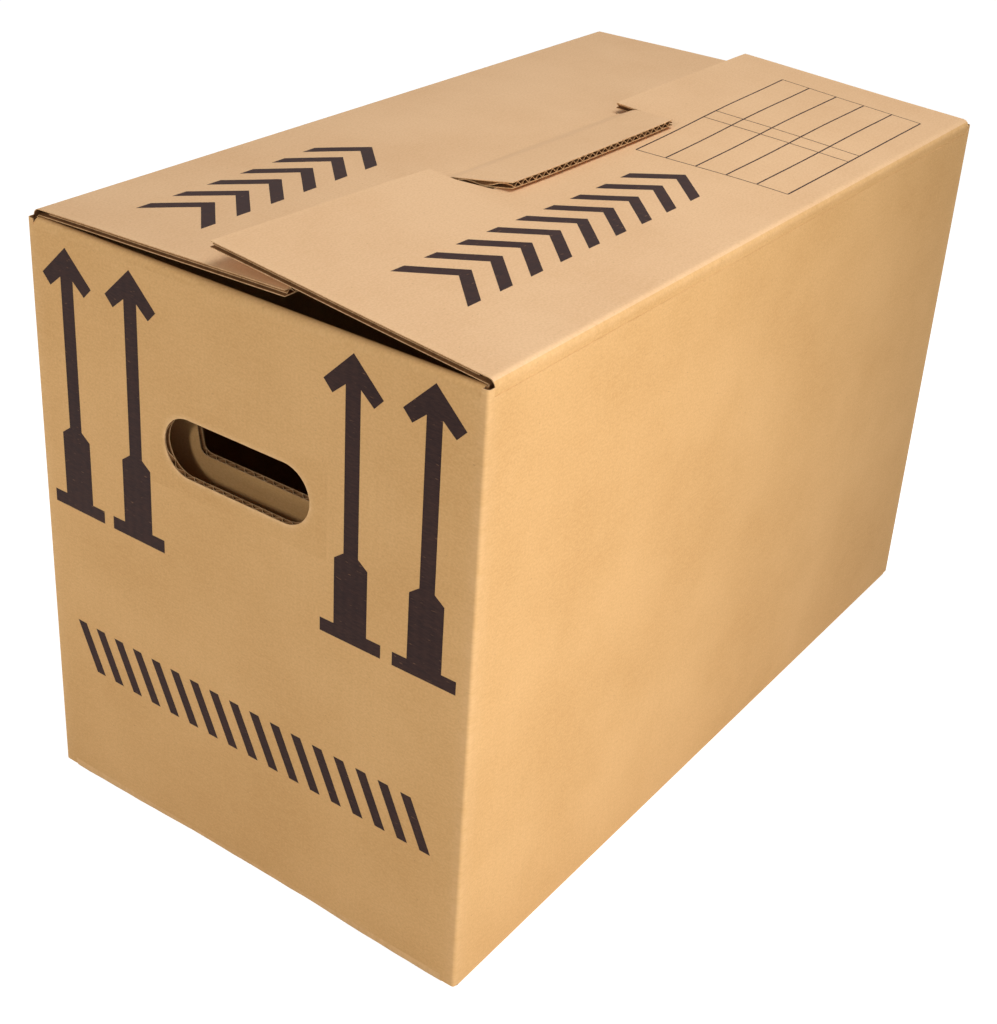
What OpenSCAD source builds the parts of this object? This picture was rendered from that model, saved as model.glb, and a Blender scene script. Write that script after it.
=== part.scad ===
// Moving box of corrugated board, closed without tape: the tongue of the far lid hooks over the near lid.
// Millimetres. X runs along the box, Y across it from the near side to the far side, Z up.
// The origin is the middle of the base.

/* [Box] */
// Length over the two end walls
box_l = 600; // [460:10:760]
// Width over the two long walls
box_w = 330; // [240:10:420]
// Height from the floor to the tops of the lids at their folds
box_h = 398; // [340:2:520]

/* [Board] */
// Thickness of the board
board_t = 4; // [3:0.25:5]
// Inside radius of a fold pressed into the board
fold_r = 0.75; // [0.5:0.25:1.5]
// Outside radius of the upright folds, where the board is crushed to a crisp edge
upright_fold_r = 2; // [1:0.5:4]
// Play between layers of board that lie on each other
layer_gap = 0.5; // [0.3:0.1:1]

/* [Flutes] */
// Distance from one flute to the next
flute_pitch = 7.5; // [6:0.25:9]
// Thickness of the liner on each face of the board
liner_t = 0.5; // [0.3:0.05:0.7]
// Thickness of the wavy medium between the liners
medium_t = 0.4; // [0.25:0.05:0.6]
// Width of a glue line, where the medium touches a liner
glue_line_w = 1.2; // [0.8:0.1:1.6]
// How deep the flutes are open at a lid's free edge
flute_depth = 8; // [4:0.5:9]
// How deep the flute is that lies open along each end of a lid
end_flute_depth = 3; // [1.5:0.25:3.5]

/* [Bottom flaps] */
// Gap between the two outer flaps, along the middle of the bottom
seam_gap = 3; // [1:0.5:8]
// How far the ends of the outer flaps stay back from the end walls
outer_flap_inset = 1; // [0.5:0.5:4]
// Length of each inner flap, from its end wall inwards
inner_flap_l = 162; // [120:2:200]

/* [End top flaps] */
// Length of the flap folded down inside each end wall
end_flap_l = 165; // [150:1:190]
// Angle at which it springs away from the end wall
end_flap_lean = 9; // [4:1:14]
// Room between its sides and the long walls
end_flap_side = 6; // [5:0.5:12]

/* [Hand holes] */
// Length of the hand hole
hand_l = 110; // [80:1:130]
// Height of the hand hole
hand_h = 38; // [28:1:44]
// Drop from the tops of the lids to the middle of the hand hole
hand_drop = 112; // [80:1:120]
// Corner radius of the hole in the inner layer
hand_inner_r = 5; // [4:0.5:13]

/* [Glue flap] */
// Width of the flap that closes the sheet inside a back corner
glue_w = 35; // [25:1:50]
// How far its ends stay back from the top and the bottom
glue_end_inset = 14; // [10:1:30]
// Height of the bevel at its ends
glue_bevel = 10; // [4:1:20]

/* [Lids] */
// How far the near lid reaches past the middle of the box
near_lid_past = 25; // [20:1:40]
// How far the far lid reaches past the middle of the box
far_lid_past = 29; // [24:1:40]
// How far the ends of the lids stay back from the end walls
lid_end_inset = 5; // [3:0.5:9]
// Tilt of the far lid, which springs up a little
far_lid_tilt = 1.2; // [0.6:0.1:2]
// Room between the near lid and the free edge of the far lid below it
lid_play = 2; // [1:0.1:3]
// Room between a lid's fold and the top of its wall
hinge_play = 0.3; // [0.2:0.05:0.5]

/* [Tongue] */
// Width of the tongue at its tip
tongue_w = 188; // [120:2:260]
// How much further out each of its sides is at its base
tongue_taper = 11; // [0:0.5:16]
// Length over which its sides run in to the tip
tongue_taper_l = 34; // [24:1:38]
// Length of the tongue that lies on the near lid, past the notch that it reaches through
tongue_hook = 11; // [8:1:16]
// Width of the slits beside the tongue
slit_w = 1.5; // [1:0.1:3]
// Room between each side of the tongue and the notch in the near lid
notch_side = 2; // [1.5:0.5:6]
// Radius at which the tongue bends up and down again
tongue_bend_r = 25; // [20:1:32]
// Steepest slope of the tongue
tongue_slope = 22; // [20:1:26]
// Room between the tongue and the near lid below it
tongue_play = 0.6; // [0.3:0.1:1]

/* [Hidden] */

$fn = 64;
bend_step = 6;
cut_over = 1;
// The tongue has come down to the near lid's slope this far before the edge of the notch.
notch_margin = 1;
// Straight pieces that each wave of the medium is drawn with.
wave_steps = 8;
// Height of what cuts the tongue's outline, all the way through its bends.
outline_h = 80;
// The flute along a lid's end opens this many board thicknesses from the fold, past the crushed part.
crushed_boards = 2;

board_color = [0.86, 0.66, 0.42];
lid_color = [0.90, 0.72, 0.52];

// A fold has its inside radius on the inner face and the board's thickness more on the outer face.
fold_out_r = fold_r + board_t;
fold_mid_r = fold_r + board_t / 2;

// Free height between the liners, and width of a flute where it is widest.
flute_h = board_t - 2 * liner_t;
flute_w = flute_pitch - glue_line_w;

// Heights of the layers, from the floor up.
inner_flap_z = board_t + layer_gap;
end_wall_low = inner_flap_z + fold_out_r;
corner_low = fold_out_r;
end_wall_top = box_h - board_t - layer_gap - fold_out_r;
long_wall_top = box_h - board_t - hinge_play;

end_strip_w = box_w - 2 * (board_t + end_flap_side);
hand_z = box_h - hand_drop;

// The lids turn about a round bead of the board's thickness, whose outer side is in line with the wall.
hinge_y = box_w / 2 - board_t / 2;
hinge_z = box_h - board_t / 2;
lid_l = box_l - 2 * lid_end_inset;
tongue_base_w = tongue_w + 2 * tongue_taper;
near_reach = box_w / 2 + near_lid_past - board_t / 2;
far_reach = box_w / 2 + far_lid_past - board_t / 2;
notch_l = near_lid_past + far_lid_past - tongue_hook;
notch_w = tongue_base_w + 2 * notch_side;
// The notch follows the tongue, whose tip reaches over the notch's edge.
notch_edge_w = tongue_width(tongue_hook) + 2 * notch_side;

// Width of the tongue at a length behind its tip.
function tongue_width(behind) = tongue_w + 2 * tongue_taper * min(1, behind / tongue_taper_l);

// Unit vectors in a section, along a heading and square to it on the left.
function along(a) = [cos(a), sin(a)];
function across(a) = [-sin(a), cos(a)];

// The near lid lies just above the upper free edge of the far lid.
far_edge = [hinge_y, 0] + far_reach * along(180 - far_lid_tilt) + board_t / 2 * along(90 - far_lid_tilt);
edge_from_hinge = far_edge + [hinge_y, 0];
near_lid_tilt = atan2(edge_from_hinge.y, edge_from_hinge.x)
    + asin((board_t / 2 + lid_play) / norm(edge_from_hinge));

// The tongue bends up, then down again until it lies along the near lid, just before the notch's edge.
// Lengths here run along the far lid from its fold, and heights square to it.
notch_edge = [-hinge_y, 0] + (near_reach - notch_l) * along(near_lid_tilt)
    + board_t / 2 * across(near_lid_tilt);
notch_from_hinge = notch_edge - [hinge_y, 0];
notch_along = notch_from_hinge * along(180 - far_lid_tilt);
notch_above = notch_from_hinge * along(90 - far_lid_tilt);
lids_angle = far_lid_tilt + near_lid_tilt;
tongue_above = notch_above + (board_t / 2 + tongue_play) / cos(lids_angle) + notch_margin * tan(lids_angle);
bends_along = tongue_bend_r * (2 * sin(tongue_slope) + sin(lids_angle));
bends_above = tongue_bend_r * (1 + cos(lids_angle) - 2 * cos(tongue_slope));
ramp_l = (tongue_above - bends_above) / sin(tongue_slope);
ramp_end = notch_along - notch_margin;
slit_reach = ramp_end - bends_along - ramp_l * cos(tongue_slope);
tip_l = (far_reach - ramp_end) / cos(lids_angle);
tongue_path = [[slit_reach], [tongue_bend_r, tongue_slope], [ramp_l],
               [tongue_bend_r, -tongue_slope - lids_angle], [tip_l]];

// Mid line of a bent sheet, as points with their headings. The path is a list of straight runs
// [length] and bends [radius, angle], and a positive angle bends to the left.
function mid_line(path, i = 0, p = [0, 0], a = 0) =
    i == len(path) ? [[p, a]]
    : len(path[i]) == 1 ? concat([[p, a]], mid_line(path, i + 1, p + path[i][0] * along(a), a))
    : let (turn = path[i][1], r = sign(turn) * path[i][0], c = p + r * across(a),
           steps = ceil(abs(turn) / bend_step))
      concat([for (k = [0 : steps - 1]) let (b = a + turn * k / steps) [c - r * across(b), b]],
             mid_line(path, i + 1, c - r * across(a + turn), a + turn));

// Section of a bent sheet of board, half its thickness to each side of the mid line.
module bent_sheet(path) {
    line = mid_line(path);
    half = board_t / 2;
    polygon(concat([for (q = line) q[0] + half * across(q[1])],
                   [for (i = [len(line) - 1 : -1 : 0]) line[i][0] - half * across(line[i][1])]));
}

// A bent sheet that starts towards negative Y, with its width along X centred on the origin.
module sheet_along_x(path, width) {
    rotate([90, 0, -90]) linear_extrude(width, center = true) bent_sheet(path);
}

// A bent sheet that starts towards negative X, with its width along Y centred on the origin.
module sheet_along_y(path, width) {
    rotate([90, 0, 0]) mirror([1, 0, 0]) linear_extrude(width, center = true) bent_sheet(path);
}

// Plan of a rectangle with round corners.
module rounded_plan(l, w, r) {
    square([l - 2 * r, w], center = true);
    square([l, w - 2 * r], center = true);
    for (x = [-1, 1], y = [-1, 1])
        translate([x * (l / 2 - r), y * (w / 2 - r)]) circle(r);
}

// Plan of the four walls with their upright folds.
module wall_ring_plan() {
    difference() {
        rounded_plan(box_l, box_w, upright_fold_r);
        rounded_plan(box_l - 2 * board_t, box_w - 2 * board_t, fold_r);
    }
}

// The upright folds alone, from one height to another. They reach in from the ends by a length.
module upright_folds(low, high, in_from_end) {
    translate([0, 0, low]) linear_extrude(high - low) intersection() {
        wall_ring_plan();
        for (x = [-1, 1], y = [-1, 1])
            translate([x * box_l / 2, y * box_w / 2]) square([2 * in_from_end, 2 * fold_out_r], center = true);
    }
}

// The four walls between the folds of the end walls. The upright folds reach further down, and up
// beside the ends of the lids' folds.
module wall_ring() {
    translate([0, 0, end_wall_low])
        linear_extrude(end_wall_top - end_wall_low) wall_ring_plan();
    upright_folds(corner_low, end_wall_low, fold_out_r);
    upright_folds(end_wall_top, long_wall_top, lid_end_inset - hinge_play);
}

// One long wall with its outer bottom flap, at the near side. The section runs from the seam
// towards the wall and up it, and the flap reaches further than its fold.
module long_panel() {
    flap_run = box_w / 2 - fold_out_r - seam_gap / 2;
    wall_run = long_wall_top - fold_out_r;
    translate([0, -seam_gap / 2, board_t / 2]) {
        sheet_along_x([[flap_run], [fold_mid_r, 90], [wall_run]], box_l - 2 * fold_out_r);
        sheet_along_x([[flap_run]], box_l - 2 * outer_flap_inset);
    }
}

// One end wall with its inner bottom flap and the top flap folded half a turn down inside it,
// at the end with negative X. Both layers have the hand hole.
module end_panel() {
    flap_run = inner_flap_l - fold_out_r;
    wall_run = end_wall_top - end_wall_low;
    top_turn = 180 - end_flap_lean;
    top_run = end_flap_l - fold_mid_r * top_turn * PI / 180;
    difference() {
        translate([-box_l / 2 + inner_flap_l, 0, inner_flap_z + board_t / 2])
            sheet_along_y([[flap_run], [fold_mid_r, 90], [wall_run], [fold_mid_r, top_turn], [top_run]],
                          end_strip_w);
        inner_hand_hole();
    }
}

// Hole through the outer wall at the end with negative X, with round ends.
module outer_hand_hole() {
    translate([-box_l / 2 - cut_over, 0, hand_z]) rotate([0, 90, 0])
        linear_extrude(cut_over + fold_out_r) {
            square([hand_h, hand_l - hand_h], center = true);
            for (side = [-1, 1]) translate([0, side * (hand_l - hand_h) / 2]) circle(hand_h / 2);
        }
}

// Hole through the folded flap. It is as far from the top fold as the outer one.
module inner_hand_hole() {
    translate([-box_l / 2 + fold_out_r, 0, end_wall_top]) rotate([0, 90 - end_flap_lean, 0])
        translate([end_wall_top - hand_z, 0, fold_mid_r])
            linear_extrude(board_t + 2 * cut_over, center = true) rounded_plan(hand_h, hand_l, hand_inner_r);
}

// Flap glued inside the far long wall, at the end with positive X.
module glue_flap() {
    low = end_wall_low + glue_end_inset;
    high = end_wall_top - glue_end_inset;
    root = box_l / 2 - board_t;
    translate([0, box_w / 2 - board_t, 0]) rotate([90, 0, 0]) linear_extrude(board_t)
        polygon([[root, low], [root, high], [root - glue_w, high - glue_bevel], [root - glue_w, low + glue_bevel]]);
}

module box_body() {
    color(board_color) difference() {
        union() {
            wall_ring();
            for (side = [0, 1]) mirror([0, side, 0]) long_panel();
            for (side = [0, 1]) mirror([side, 0, 0]) end_panel();
            glue_flap();
        }
        for (side = [0, 1]) mirror([side, 0, 0]) outer_hand_hole();
    }
}

// The round fold of a lid.
module lid_bead() {
    rotate([0, 90, 0]) cylinder(h = lid_l, d = board_t, center = true);
}

// Section of one flute, between the upper liner and the medium, which is a cosine wave.
module flute() {
    polygon([for (i = [0 : wave_steps]) let (t = 2 * i / wave_steps - 1)
        [t * flute_w / 2, flute_h / 2 - (flute_h - medium_t) * (1 + cos(180 * t)) / 2]]);
}

// The flutes that open on an edge from one place along it to another, above and below the medium
// by turns. The edge faces negative Y, and they run in from it by the depth.
module open_flutes(from, to, depth) {
    half_pitch = flute_pitch / 2;
    first = ceil(from / half_pitch) + 1;
    last = floor(to / half_pitch) - 1;
    translate([0, depth, 0]) rotate([90, 0, 0]) linear_extrude(depth + cut_over)
        for (k = [first : last]) translate([k * half_pitch, 0]) mirror([0, k % 2, 0]) flute();
}

// The open flutes of a lid's free edge, at each side of its middle cut.
module edge_flutes(reach, cut_w) {
    for (side = [0, 1]) mirror([side, 0, 0]) translate([0, -reach, 0])
        open_flutes(cut_w / 2, lid_l / 2 - end_flute_depth, flute_depth);
}

// The open flutes of the tongue's tip, in line with the end of its path.
module tip_flutes() {
    line = mid_line(tongue_path);
    tip = line[len(line) - 1];
    translate([0, -tip[0].x, tip[0].y]) rotate([-tip[1], 0, 0])
        open_flutes(-tongue_w / 2, tongue_w / 2, min(flute_depth, tip_l));
}

// The flute that lies open along each end of a lid, from its fold to the flutes of its free edge.
module end_flutes(reach) {
    start = crushed_boards * board_t;
    run = reach - start - flute_depth - liner_t;
    for (side = [-1, 1]) translate([side * lid_l / 2, -start - run / 2, 0])
        cube([2 * end_flute_depth, run, flute_h], center = true);
}

// The tongue's outline with room at its sides, from the lid's fold to past its tip.
module tongue_plan(room) {
    base = tongue_base_w / 2 + room;
    tip = tongue_w / 2 + room;
    for (side = [0, 1]) mirror([side, 0, 0])
        polygon([[0, 0], [base, 0], [base, tongue_taper_l - far_reach], [tip, -far_reach],
                 [tip, -far_reach - board_t], [0, -far_reach - board_t]]);
}

// What frees the tongue from the far lid: its outline and a slit at each side.
module tongue_cut() {
    linear_extrude(2 * board_t, center = true) intersection() {
        tongue_plan(slit_w);
        translate([0, -slit_reach - lid_l / 2]) square(lid_l, center = true);
    }
}

// The notch that the tongue reaches through.
module notch_cut() {
    linear_extrude(2 * board_t, center = true)
        for (side = [0, 1]) mirror([side, 0, 0])
            polygon([[0, notch_l - near_reach], [notch_edge_w / 2, notch_l - near_reach],
                     [notch_w / 2, notch_l - near_reach - tongue_taper_l + tongue_hook],
                     [notch_w / 2, -near_reach - cut_over], [0, -near_reach - cut_over]]);
}

// Puts a lid drawn towards negative Y on the far wall, or the near one, at its tilt.
module on_far_wall(tilt) {
    translate([0, hinge_y, hinge_z]) rotate([-tilt, 0, 0]) children();
}

module on_near_wall(tilt) {
    mirror([0, 1, 0]) on_far_wall(tilt) children();
}

module near_lid_flap() {
    color(lid_color) on_near_wall(near_lid_tilt) {
        lid_bead();
        difference() {
            sheet_along_x([[near_reach]], lid_l);
            notch_cut();
            edge_flutes(near_reach, notch_w);
            end_flutes(near_reach);
        }
    }
}

module far_lid_flap() {
    color(lid_color) on_far_wall(far_lid_tilt) {
        lid_bead();
        difference() {
            intersection() {
                sheet_along_x(tongue_path, tongue_base_w);
                linear_extrude(outline_h, center = true) tongue_plan(0);
            }
            tip_flutes();
        }
        difference() {
            sheet_along_x([[far_reach]], lid_l);
            tongue_cut();
            edge_flutes(far_reach, tongue_width(flute_depth) + 2 * slit_w);
            end_flutes(far_reach);
        }
    }
}

box_body();
near_lid_flap();
far_lid_flap();
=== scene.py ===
import math

import bpy
import numpy as np
from mathutils import Euler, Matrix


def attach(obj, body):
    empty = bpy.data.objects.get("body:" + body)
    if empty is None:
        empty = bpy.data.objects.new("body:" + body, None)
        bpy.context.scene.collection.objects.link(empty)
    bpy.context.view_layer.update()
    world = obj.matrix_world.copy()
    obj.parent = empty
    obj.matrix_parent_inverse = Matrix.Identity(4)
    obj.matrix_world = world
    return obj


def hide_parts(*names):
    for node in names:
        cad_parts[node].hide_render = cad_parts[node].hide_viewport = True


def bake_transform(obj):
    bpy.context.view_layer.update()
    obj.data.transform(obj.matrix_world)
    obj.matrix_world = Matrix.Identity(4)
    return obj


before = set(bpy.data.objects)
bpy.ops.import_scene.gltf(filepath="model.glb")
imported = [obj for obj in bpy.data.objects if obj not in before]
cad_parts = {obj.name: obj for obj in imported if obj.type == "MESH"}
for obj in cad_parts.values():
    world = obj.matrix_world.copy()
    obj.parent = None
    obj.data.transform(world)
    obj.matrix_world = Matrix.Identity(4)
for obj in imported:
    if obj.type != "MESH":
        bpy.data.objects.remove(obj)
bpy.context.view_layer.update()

# Sizes of the box and its board, in metres, as in the part's source.
LENGTH = 0.600
WIDTH = 0.330
HEIGHT = 0.398
BOARD = 0.004
HALF_BOARD = BOARD / 2
FOLD_IN = 0.00075
FOLD_MID = FOLD_IN + HALF_BOARD
FOLD_OUT = FOLD_IN + BOARD
UPRIGHT_OUT = 0.002
LAYER_GAP = 0.0005
SEAM_GAP = 0.003
FLAP_INSET = 0.0052
INNER_FLAP = 0.162
INNER_FLAP_Z = BOARD + LAYER_GAP
END_WALL_LOW = INNER_FLAP_Z + FOLD_OUT
END_WALL_TOP = HEIGHT - BOARD - LAYER_GAP - FOLD_OUT
HINGE_PLAY = 0.0003
POST_TOP = HEIGHT - BOARD - HINGE_PLAY
STRIP_HALF = 0.155
GLUE_FLAP = 0.035

# Hand holes.
HAND_HALF = 0.055
HAND_RISE = 0.019
HAND_Z = HEIGHT - 0.112
HAND_INNER_R = 0.005
# The front hand hole is punched a little off the middle, and a little high.
HAND_OFF = 0.0035
HAND_UP = 0.001
END_FLAP = 0.165
END_FLAP_TURN = math.radians(171)

# Lids and tongue.
HINGE_Y = WIDTH / 2 - HALF_BOARD
HINGE_Z = HEIGHT - HALF_BOARD
LID_HALF = 0.295
NEAR_REACH = 0.188
FAR_REACH = 0.192
NOTCH_FROM = 0.145
NOTCH_HALF = 0.107
SLIT_FROM = 0.1394
SLIT_HALF = 0.1065
TONGUE_HALF = 0.105
TONGUE_TAPER = 0.011
TONGUE_TAPER_RUN = 0.034
TONGUE_UP = 0.157
TONGUE_CROSSES = 0.154
TONGUE_TIP_RISE = 0.0062
LID_START = 0.009

# The fluted board: two liners with a wavy paper glued between them.
FLUTE = 0.0075
LINER = 0.0005
MEDIUM = 0.00045
WAVE = HALF_BOARD - LINER - MEDIUM / 2
COLUMNS_PER_FLUTE = 8
# The wavy paper stops this far short of a lid's ends. It is there over this length of the lid's ends,
# and past this distance from the hinge.
END_FLUTE = 0.002
END_FLUTES = 0.020
EDGE_FROM = 0.136

# Faces that meet at more than this angle are shaded apart.
SHARP_FROM = math.radians(62)


def smooth_step(t):
    """Rises from 0 to 1 as t goes from 0 to 1: three t squared less two t cubed, flat at both ends."""
    t = np.clip(t, 0.0, 1.0)
    return t * t * (3 - 2 * t)


def bell(t, middle, width):
    """A bell curve: 1 at the middle, and one over e at the width from it."""
    return np.exp(-(((t - middle) / width) ** 2))


def waves(x, y, seed, size):
    """Gentle unevenness between about -1 and 1: the mean of six sine waves of random heading and
    phase, with lengths between size and two and a half times size."""
    draw = np.random.default_rng(seed)
    total = np.zeros(np.broadcast(x, y).shape)
    for _ in range(6):
        heading = draw.uniform(0, 2 * math.pi)
        length = size * draw.uniform(1.0, 2.5)
        phase = draw.uniform(0, 2 * math.pi)
        total = total + np.sin((x * math.cos(heading) + y * math.sin(heading)) * 2 * math.pi / length + phase)
    return total / 3.0


def steps(start, end, size, also=()):
    """Evenly spaced values from start to end, no further apart than size, with the values in also
    put among them and those that would come too close to them left out."""
    count = max(1, math.ceil((end - start) / size - 1e-9))
    even = np.linspace(start, end, count + 1)
    wanted = np.array([a for a in also if start - 1e-9 < a < end + 1e-9] + [start, end])
    near = np.abs(even[:, None] - wanted[None, :]).min(axis=1)
    return np.unique(np.round(np.concatenate([even[near > size * 0.3], wanted]), 7))


def joined(*rows):
    """Rows of values, each of which starts where the one before it ends, as one row."""
    return np.concatenate([row[:-1] for row in rows[:-1]] + [rows[-1]])


def midpoints(values):
    """The values halfway between neighbours."""
    return (values[:-1] + values[1:]) / 2


def cells(shape):
    """The numbers of the four corners of each cell, in a grid whose points are numbered row by row."""
    number = np.arange(shape[0] * shape[1]).reshape(shape)
    return number[:-1, :-1], number[1:, :-1], number[1:, 1:], number[:-1, 1:]


# Paths: a folded sheet seen from its side.


def path_point(runs, start, heading, s):
    """Points and left normals at the distances s along a path of runs (length, turn). A run with no
    turn goes straight on; any other is an arc whose curvature is its turn over its length."""
    begin = [0.0]
    at = [np.array(start, float)]
    angle = [heading]
    for length, turn in runs:
        a = angle[-1]
        if turn == 0:
            step = length * np.array([math.cos(a), math.sin(a)])
        else:
            r = length / turn
            step = r * np.array([math.sin(a + turn) - math.sin(a), math.cos(a) - math.cos(a + turn)])
        begin.append(begin[-1] + length)
        at.append(at[-1] + step)
        angle.append(a + turn)
    k = np.clip(np.searchsorted(begin, s, side="right") - 1, 0, len(runs) - 1)
    at = np.array(at)[k]
    a = np.array(angle)[k]
    bend = np.array([turn / length for length, turn in runs])[k]
    t = s - np.array(begin)[k]
    b = a + bend * t
    safe = np.where(bend == 0, 1.0, bend)
    p = at[..., 0] + np.where(bend == 0, np.cos(a) * t, (np.sin(b) - np.sin(a)) / safe)
    q = at[..., 1] + np.where(bend == 0, np.sin(a) * t, (np.cos(a) - np.cos(b)) / safe)
    return p, q, -np.sin(b), np.cos(b)


def path_length(runs):
    """The sum of the runs' lengths."""
    return sum(length for length, _ in runs)


def fold(turn):
    """A run that bends the board's mid line by turn at the radius of a pressed fold."""
    return (abs(turn) * FOLD_MID, turn)


QUARTER = math.pi / 2


# Sheets: closed meshes on a grid of two sheet coordinates. u runs across the flutes, v along them.


def grid(u, v):
    """The two sheet coordinates as full grids. Each comes as one row of values or as a grid already."""
    return np.broadcast_arrays(u if np.ndim(u) == 2 else u[:, None], v if np.ndim(v) == 2 else v[None, :])


def sheet(u, v, place, low, high, keep=None, wear_and_highlight=None, faces=(0, 0, 1)):
    """A closed sheet as arrays. Its upper side is place(u, v, high), its lower side place(u, v, low), and
    wherever a kept cell of the grid has no kept neighbour a wall joins the two sides. faces numbers the
    materials of the upper side, the lower side and the walls."""
    gu, gv = grid(u, v)
    keep = np.ones((gu.shape[0] - 1, gu.shape[1] - 1), bool) if keep is None else keep
    high = np.broadcast_to(high, gu.shape)
    low = np.broadcast_to(low, gu.shape)
    points = np.concatenate([place(gu, gv, high).reshape(-1, 3), place(gu, gv, low).reshape(-1, 3)])
    a, b, c, d = cells(gu.shape)
    rim = np.pad(keep, 1)
    quads = [np.stack([a, b, c, d], -1)[keep], np.stack([d, c, b, a], -1)[keep] + gu.size]
    kinds = [np.full(len(quads[0]), faces[0]), np.full(len(quads[1]), faces[1])]
    open_sides = (
        (~rim[1:-1, :-2], a, b),
        (~rim[2:, 1:-1], b, c),
        (~rim[1:-1, 2:], c, d),
        (~rim[:-2, 1:-1], d, a),
    )
    for missing, p, q in open_sides:
        wall = np.stack([q, p, p + gu.size, q + gu.size], -1)[keep & missing]
        quads.append(wall)
        kinds.append(np.full(len(wall), faces[2]))
    corners = np.concatenate(quads)
    kind = np.concatenate(kinds)
    smooth = np.arange(len(corners)) < len(quads[0]) + len(quads[1])
    p0, p1, p2, p3 = (points[corners[:, i]] for i in range(4))
    volume = np.einsum("ij,ij->i", p0, np.cross(p1 - p0, p2 - p0) + np.cross(p2 - p0, p3 - p0)).sum()
    if volume < 0:
        corners = corners[:, ::-1]
    used, corners = np.unique(corners, return_inverse=True)
    worn = np.zeros(gu.shape) if wear_and_highlight is None else np.broadcast_to(wear_and_highlight(gu, gv), gu.shape)
    return {
        "points": points[used],
        "corners": corners.reshape(-1, 4),
        "uv": np.tile(np.stack([gu, gv], -1).reshape(-1, 2), (2, 1))[used],
        "wear_and_highlight": np.tile(worn.ravel(), 2)[used],
        "kind": kind,
        "smooth": smooth,
    }


def liners(u, v, place, keep=None, wear_and_highlight=None):
    """The two flat papers of a board, one on each face. Their sides towards the flutes take the flutes'
    painted shade.
    """
    outer = sheet(u, v, place, HALF_BOARD - LINER, HALF_BOARD, keep, wear_and_highlight, (0, 2, 1))
    inner = sheet(u, v, place, -HALF_BOARD, LINER - HALF_BOARD, keep, wear_and_highlight, (2, 0, 1))
    return [outer, inner]


def medium(u, v, place, keep=None):
    """The wavy paper between the liners: a thin sheet whose mid line is a sine of u, one flute long. Both its
    sides take the flutes' painted shade.
    """
    wave = WAVE * np.sin(grid(u, v)[0] * 2 * math.pi / FLUTE)
    return sheet(u, v, place, wave - MEDIUM / 2, wave + MEDIUM / 2, keep, faces=(2, 2, 1))


def flute_columns(start, end, also=()):
    """Columns close enough together to draw each flute as a wave."""
    return steps(start, end, FLUTE / COLUMNS_PER_FLUTE, also)


def piece(name, sheets, body, materials):
    """One mesh object of several sheets, with their sheet coordinates as its UV map, their wear and painted
    highlight as an attribute, and its faces' materials by kind. It rides on the body."""
    first = np.cumsum([0] + [len(s["points"]) for s in sheets[:-1]])
    points = np.concatenate([s["points"] for s in sheets])
    corners = np.concatenate([s["corners"] + n for s, n in zip(sheets, first)])
    uv = np.concatenate([s["uv"] for s in sheets])
    mesh = bpy.data.meshes.new(name)
    mesh.from_pydata(points.tolist(), [], corners.tolist())
    layer = mesh.uv_layers.new(name="sheet")
    layer.data.foreach_set("uv", uv[corners.ravel()].astype(np.float32).ravel())
    kind = np.concatenate([s["kind"] for s in sheets]).astype(np.int32)
    mesh.polygons.foreach_set("material_index", kind)
    mesh.polygons.foreach_set("use_smooth", np.concatenate([s["smooth"] for s in sheets]))
    worn = mesh.attributes.new("wear_and_highlight", "FLOAT", "POINT")
    worn.data.foreach_set("value", np.concatenate([s["wear_and_highlight"] for s in sheets]).astype(np.float32))
    for material in materials:
        mesh.materials.append(material)
    mesh.update()
    mesh.set_sharp_from_angle(angle=SHARP_FROM)
    obj = bpy.data.objects.new(name, mesh)
    bpy.context.scene.collection.objects.link(obj)
    if body is not None:
        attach(obj, body)
    return obj


# Places: where a point of a sheet lies in the box. w is the height over the board's mid surface.

LONG_RUN = LENGTH - 2 * FOLD_OUT
END_RUN = WIDTH - 2 * FOLD_OUT
GLUE_RUN = GLUE_FLAP - FOLD_IN
# The glue flap lies this far inside its wall, and that wall stops this far short of the corner.
GLUE_GAP = 0.0002
LAST_WALL_SHORT = 0.0004
BELT = [
    (GLUE_RUN, 0.0),
    fold(-QUARTER),
    (END_RUN - BOARD, 0.0),
    fold(-QUARTER),
    (LONG_RUN, 0.0),
    fold(-QUARTER),
    (END_RUN, 0.0),
    fold(-QUARTER),
    (LONG_RUN + FOLD_OUT - LAST_WALL_SHORT, 0.0),
]
BELT_START = (LENGTH / 2 - FOLD_OUT - GLUE_RUN, WIDTH / 2 - BOARD - HALF_BOARD - GLUE_GAP)
BELT_ENDS = np.concatenate([[0.0], np.cumsum([length for length, _ in BELT])])
UPRIGHT_FOLDS = (1, 3, 5, 7)
# Each wall's run of the belt, how far it bulges, and the seed of its unevenness.
BULGES = ((2, 0.0006, 3), (4, 0.0011, 5), (6, 0.0007, 7), (8, 0.0009, 9))
UNEVEN = 0.0003
# Where the middle of each end wall lies along the belt.
BACK_MIDDLE = BELT_ENDS[2] + (WIDTH / 2 - BOARD - FOLD_OUT) - GLUE_GAP
FRONT_MIDDLE = BELT_ENDS[6] + END_RUN / 2
FRONT_HAND = FRONT_MIDDLE + HAND_OFF


def share_of_run(u, k):
    """How far along the belt's run k the distance u lies: 0 at its start and 1 at its end."""
    return (u - BELT_ENDS[k]) / (BELT_ENDS[k + 1] - BELT_ENDS[k])


def outwards_share(w):
    """0 at a board's inner face and 1 at its outer one."""
    return np.clip(w / BOARD + 0.5, 0, 1)


def swell(across, along):
    """How far a wall bulges: the product of two half sine waves, so that it is nothing at the folds."""
    return np.sin(math.pi * np.clip(across, 0, 1)) * np.sin(math.pi * np.clip(along, 0, 1))


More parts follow.
